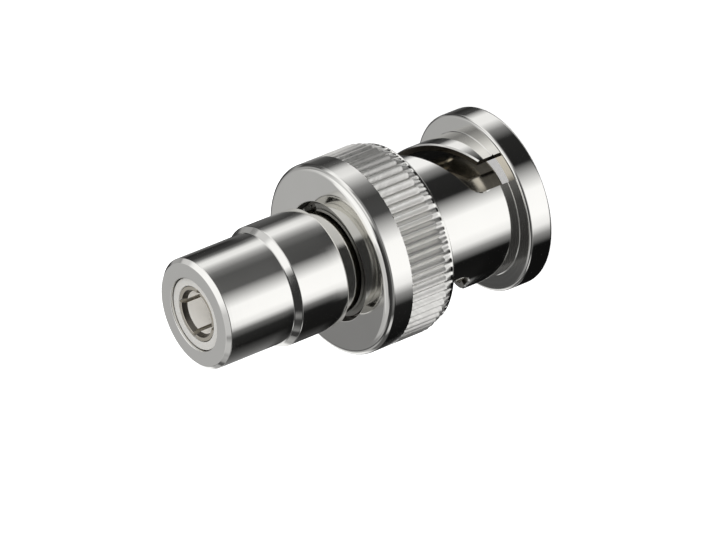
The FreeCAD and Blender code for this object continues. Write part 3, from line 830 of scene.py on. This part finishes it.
# Nickel over a rolled knurl: the same plate, but the rolled teeth scatter what they mirror.
knurled_nickel = turned_metal("nickel over a rolled knurl", NICKEL_WHITE, NICKEL_SHADE, KNURL_ROUGHNESS,
                              TOOL_MARK_DEPTH)

# Faces of the slots' walls and of the ring's recess take the darker nickel, which paints shade there.
for face in nut.faces:
    middle = face.calc_center_median() / MM
    outward = Vector((middle.x, middle.y, 0))
    radius = outward.length
    in_teeth = radius > knurl_root and teeth_bottom < middle.z < COLLAR_BOTTOM - GROOVE_RUNOUT
    in_recess = (RECESS_WALL_INSIDE < radius < RING_RECESS_RADIUS + NEAR_WALL
                 and nut_high.z - RING_RECESS_DEPTH < middle.z < nut_high.z - EDGE_BREAK)
    in_slot = (NUT_BORE_RADIUS + NEAR_WALL < radius < NUT_BARREL_RADIUS - NEAR_WALL
               and middle.z < KNURL_BOTTOM and abs(face.normal.dot(outward.normalized())) < SLOT_WALL_LEAN)
    if in_teeth:
        face.material_index = 1
    elif in_recess or in_slot:
        face.material_index = 2
finish_piece(nut, "bayonet_nut", "coupling_nut", "nut", "nickel",
             bright_nickel, knurled_nickel, slot_shade_nickel)

# The socket's contact: a tube of spring bronze, turned and nickel-plated, with four saw cuts that
# let it grip the phono plug's pin. Its spigot is soldered into the shank of the centre pin.
TUBE_RADIUS = 2.05
TUBE_BORE_RADIUS = 1.6
TUBE_BOTTOM = 13.5
TUBE_BORE_BOTTOM = 15.3
TUBE_SPIGOT_RADIUS = 0.6
TUBE_LEAD_IN_DEPTH = 0.19
TUBE_LEAD_IN_LENGTH = 0.4
TUBE_CUT_WIDTH = 0.35
TUBE_CUT_LENGTH = 5.0
TUBE_CUT_TURN = 45
TUBE_EDGE = 0.03
BORE_BRIGHT = "#f4f2ee"
BORE_SHADE = "#e8e5de"
LEAD_IN_PAINTED_SHADE = "#75716a"
LEAD_IN_PAINTED_SHADE_DARK = "#5c5852"

# Nickel inside the bore: the plating bath leaves it duller there, so it scatters the light.
bore_nickel = turned_metal("matt nickel in the bore", BORE_BRIGHT, BORE_SHADE, roughness=0.6,
                           mark_depth=TOOL_MARK_DEPTH, metallic=0.25)

# The lead-in: dull metal coloured dark grey, painted shade in the mouth of the bore.
lead_in_shade_metal = turned_metal("dark lead-in with painted shade", LEAD_IN_PAINTED_SHADE, LEAD_IN_PAINTED_SHADE_DARK, roughness=0.4,
                           mark_depth=TOOL_MARK_DEPTH)

tube_low, tube_high = (corner / MM for corner in map(Vector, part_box("rca_contact")))
tube = turned_mesh([
    (0, tube_low.z),
    (TUBE_SPIGOT_RADIUS, tube_low.z),
    (TUBE_SPIGOT_RADIUS, TUBE_BOTTOM),
    (TUBE_RADIUS, TUBE_BOTTOM),
    (TUBE_RADIUS, tube_high.z, TUBE_EDGE),
    (TUBE_BORE_RADIUS + TUBE_LEAD_IN_DEPTH, tube_high.z, TUBE_EDGE),
    (TUBE_BORE_RADIUS, tube_high.z - TUBE_LEAD_IN_LENGTH, TUBE_EDGE),
    (TUBE_BORE_RADIUS, TUBE_BORE_BOTTOM),
    (0, TUBE_BORE_BOTTOM),
], columns=SMALL_COLUMNS)
tube = cut_away(tube, *saw_blades(TUBE_CUT_WIDTH, TUBE_RADIUS + CUT_OVERRUN, tube_high.z - TUBE_CUT_LENGTH,
                                  tube_high.z + CUT_OVERRUN, TUBE_CUT_TURN))
# Faces of the bore take the matt nickel, and faces of the lead-in take the dark metal that paints shade
# there.
for face in tube.faces:
    middle = face.calc_center_median() / MM
    radius = Vector((middle.x, middle.y)).length
    lead_in_bottom = tube_high.z - TUBE_LEAD_IN_LENGTH
    if radius < TUBE_BORE_RADIUS + NEAR_WALL and TUBE_BORE_BOTTOM < middle.z < lead_in_bottom:
        face.material_index = 1
    elif radius < TUBE_BORE_RADIUS + TUBE_LEAD_IN_DEPTH and middle.z >= lead_in_bottom:
        face.material_index = 2
finish_piece(tube, "socket_tube", "rca_contact", "root", "contact", bronze_nickel, bore_nickel, lead_in_shade_metal)

# The socket's bush: moulded natural nylon that fills the shell round the contact. Its nose
# stands in the shell's lip, a little below the face.
BUSH_RADIUS = 3.55
BUSH_NOSE_RADIUS = 2.7
BUSH_HOLE_RADIUS = 2.1
BUSH_SHOULDER_BOTTOM = 19.63
BUSH_SHOULDER_TOP = 26.37
NYLON_WHITE = "#bdbcb8"
NYLON_SHADE = "#b0aeaa"
MOULD_RINGS = 0.35
MOULD_RING_DEPTH = 0.003

# Natural nylon, moulded: off-white and slightly waxy, with broad soft clouds and faint rings.
nylon = white_plastic("moulded natural nylon", NYLON_WHITE, NYLON_SHADE, roughness=0.42,
                      ring_depth=MOULD_RING_DEPTH, ring_spacing=MOULD_RINGS, glow=0.15)

bush_low, bush_high = (corner / MM for corner in map(Vector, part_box("rca_insulator")))
bush = turned_mesh([
    (BUSH_HOLE_RADIUS, bush_low.z),
    (STEM_RADIUS, bush_low.z),
    (STEM_RADIUS, BUSH_SHOULDER_BOTTOM),
    (BUSH_RADIUS, BUSH_SHOULDER_BOTTOM),
    (BUSH_RADIUS, BUSH_SHOULDER_TOP),
    (BUSH_NOSE_RADIUS, BUSH_SHOULDER_TOP),
    (BUSH_NOSE_RADIUS, bush_high.z),
    (BUSH_HOLE_RADIUS, bush_high.z),
])
finish_piece(bush, "socket_bush", "rca_insulator", "root", "white_plastic", nylon)

# The phono shell: turned brass in two diameters with a short cone between them, nickel-plated
# and pressed over the body's spigot. The lip at its face holds the bush in.
SHELL_BORE_RADIUS = 3.6
SHELL_BARREL_RADIUS = 4.15
SHELL_ROOT_LENGTH = 4.15
SHELL_CONE_LENGTH = 0.45
SHELL_RIM_CHAMFER = 0.3
SHELL_RIM_EDGE = 0.03
SHELL_ROOT_ROUNDING = 0.15
SHELL_LIP_THICKNESS = 0.6
SHELL_LIP_RADIUS = 2.75

shell_low, shell_high = (corner / MM for corner in map(Vector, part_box("rca_shell")))
root_radius = shell_high.x
shell = turned_mesh([
    (SHELL_BORE_RADIUS, shell_low.z),
    (root_radius, shell_low.z, SHELL_ROOT_ROUNDING),
    (root_radius, shell_low.z + SHELL_ROOT_LENGTH),
    (SHELL_BARREL_RADIUS, shell_low.z + SHELL_ROOT_LENGTH + SHELL_CONE_LENGTH),
    (SHELL_BARREL_RADIUS, shell_high.z - SHELL_RIM_CHAMFER, SHELL_RIM_EDGE),
    (SHELL_BARREL_RADIUS - SHELL_RIM_CHAMFER, shell_high.z, SHELL_RIM_EDGE),
    (SHELL_LIP_RADIUS, shell_high.z),
    (SHELL_LIP_RADIUS, shell_high.z - SHELL_LIP_THICKNESS),
    (SHELL_BORE_RADIUS, shell_high.z - SHELL_LIP_THICKNESS),
])
finish_piece(shell, "phono_shell", "rca_shell", "root", "nickel", bright_nickel)
